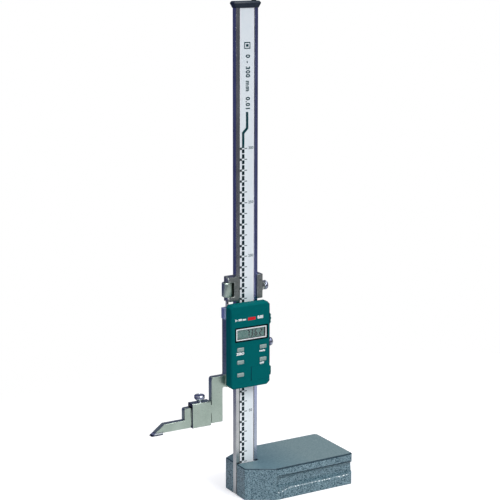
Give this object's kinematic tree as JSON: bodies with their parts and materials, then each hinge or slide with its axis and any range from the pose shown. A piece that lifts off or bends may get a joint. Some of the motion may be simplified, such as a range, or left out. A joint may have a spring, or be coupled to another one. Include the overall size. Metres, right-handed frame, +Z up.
{
  "type": "height gauge",
  "caption": "Height gauge: a flat steel beam on a heavy base carries a sliding digital display unit, a fine-adjust carriage and a clamped scriber.",
  "frame": {"origin": "underside of the base, straight below the middle of the beam", "axes": "+Z up along the beam, +X along the base away from the scriber, display faces -Y"},
  "size_m": [0.2015, 0.067, 0.4649],
  "materials": {
    "hammered_base": "hammered grey-blue enamel, ground top",
    "ground_steel": "ground and brushed along its length",
    "satin_steel": "satin ground",
    "black_screw": "black oxide",
    "plated_screw": "zinc plated",
    "circuit_green": "glass-epoxy board",
    "scale_film": "printed film",
    "black_plastic": "moulded",
    "teal_plastic": "moulded, fine spark texture",
    "clear_window": "polished clear",
    "lcd_glass": "liquid-crystal panel",
    "dark_rubber": "moulded silicone",
    "nickel": "nickel plated",
    "bronze": "phosphor bronze",
    "key_grey": "moulded",
    "knurled_chrome": "knurled, satin chrome",
    "carbide": "ground hard metal"
  },
  "bodies": {
    "base": {"base_casting": "hammered_base", "beam": "ground_steel", "beam_fixing_screws": "black_screw", "scale_board": "circuit_green", "scale_strip": "scale_film", "top_cap": "black_plastic", "cap_screw": "black_screw"},
    "slider": {"slider_frame": "satin_steel", "gib_strip": "bronze", "gib_screws": "black_screw", "slider_back_plate": "satin_steel", "back_plate_screws": "plated_screw", "cover_screws": "plated_screw", "display_housing": "teal_plastic", "display_bezel": "black_plastic", "display_window": "clear_window", "lcd_panel": "lcd_glass", "contact_strips": "dark_rubber", "circuit_board": "circuit_green", "reader_plate": "circuit_green", "data_connector": "black_plastic", "key_mat": "dark_rubber", "battery": "nickel", "battery_contacts": "nickel", "fine_adjust_rod": "satin_steel", "rod_pin": "satin_steel"},
    "battery_cover": {"battery_cover": "teal_plastic"},
    "port_cover": {"port_cover": "teal_plastic"},
    "slider_lock_pad": {"slider_lock_pad": "bronze"},
    "slider_lock_screw": {"slider_lock_screw": "knurled_chrome"},
    "carriage": {"carriage_block": "satin_steel"},
    "fine_adjust_nut": {"fine_adjust_nut": "knurled_chrome"},
    "carriage_lock_pad": {"carriage_lock_pad": "bronze"},
    "carriage_lock_screw": {"carriage_lock_screw": "knurled_chrome"},
    "clamp": {"clamp_frame": "satin_steel"},
    "clamp_pad": {"clamp_pad": "bronze"},
    "clamp_screw": {"clamp_screw": "knurled_chrome"},
    "scriber": {"scriber": "satin_steel", "carbide_tip": "carbide"},
    "zero_key": {"zero_key": "key_grey"},
    "unit_key": {"unit_key": "key_grey"},
    "hold_key": {"hold_key": "key_grey"},
    "power_key": {"power_key": "key_grey"},
    "preset_key": {"preset_key": "key_grey"}
  },
  "joints": [
    {"name": "slider_travel", "type": "slide", "parent": "base", "child": "slider", "axis": [0, 0, 1], "range_m": [-0.073, 0.22638]},
    {"name": "carriage_travel", "type": "slide", "parent": "slider", "child": "carriage", "axis": [0, 0, 1], "range_m": [-0.0015, 0.006]},
    {"name": "fine_nut_turn", "type": "hinge", "parent": "carriage", "child": "fine_adjust_nut", "pos_m": [-0.0194, 0, 0.202], "axis": [0, 0, 1], "range_deg": [-1080.1, 4320.1]},
    {"name": "slider_lock_press", "type": "slide", "parent": "slider", "child": "slider_lock_pad", "axis": [-1, 0, 0], "range_m": [0, 0.00025]},
    {"name": "slider_lock_turn", "type": "hinge", "parent": "slider_lock_pad", "child": "slider_lock_screw", "pos_m": [0.022, 0, 0.14602], "axis": [-1, 0, 0], "range_deg": [0, 128.6]},
    {"name": "carriage_lock_press", "type": "slide", "parent": "carriage", "child": "carriage_lock_pad", "axis": [-1, 0, 0], "range_m": [0, 0.00025]},
    {"name": "carriage_lock_turn", "type": "hinge", "parent": "carriage_lock_pad", "child": "carriage_lock_screw", "pos_m": [0.019, 0, 0.20172], "axis": [-1, 0, 0], "range_deg": [0, 128.6]},
    {"name": "clamp_slide", "type": "slide", "parent": "slider", "child": "clamp", "axis": [1, 0, 0], "range_m": [-0.0007, 0.001]},
    {"name": "clamp_press", "type": "slide", "parent": "clamp", "child": "clamp_pad", "axis": [0, 0, -1], "range_m": [0, 0.00025]},
    {"name": "clamp_turn", "type": "hinge", "parent": "clamp_pad", "child": "clamp_screw", "pos_m": [-0.04895, 0, 0.1], "axis": [0, 0, -1], "range_deg": [0, 128.6]},
    {"name": "scriber_slide", "type": "slide", "parent": "slider", "child": "scriber", "axis": [-1, 0, 0], "range_m": [0, 0.015]},
    {"name": "battery_cover_slide", "type": "slide", "parent": "slider", "child": "battery_cover", "axis": [1, 0, 0], "range_m": [0, 0.018]},
    {"name": "port_cover_pull", "type": "slide", "parent": "slider", "child": "port_cover", "axis": [1, 0, 0], "range_m": [0, 0.006]},
    {"name": "zero_key_press", "type": "slide", "parent": "slider", "child": "zero_key", "axis": [0, 1, 0], "range_m": [0, 0.0008], "stiffness_N_per_m": 400},
    {"name": "unit_key_press", "type": "slide", "parent": "slider", "child": "unit_key", "axis": [0, 1, 0], "range_m": [0, 0.0008], "stiffness_N_per_m": 400},
    {"name": "hold_key_press", "type": "slide", "parent": "slider", "child": "hold_key", "axis": [0, 1, 0], "range_m": [0, 0.0008], "stiffness_N_per_m": 400},
    {"name": "power_key_press", "type": "slide", "parent": "slider", "child": "power_key", "axis": [0, 1, 0], "range_m": [0, 0.0008], "stiffness_N_per_m": 400},
    {"name": "preset_key_press", "type": "slide", "parent": "slider", "child": "preset_key", "axis": [0, 1, 0], "range_m": [0, 0.0008], "stiffness_N_per_m": 400}
  ],
  "couplings": [
    {"joint": "fine_nut_turn", "follows": "carriage_travel", "rad_per_m": 12566},
    {"joint": "slider_lock_turn", "follows": "slider_lock_press", "rad_per_m": 8976},
    {"joint": "carriage_lock_turn", "follows": "carriage_lock_press", "rad_per_m": 8976},
    {"joint": "clamp_turn", "follows": "clamp_press", "rad_per_m": 8976}
  ]
}
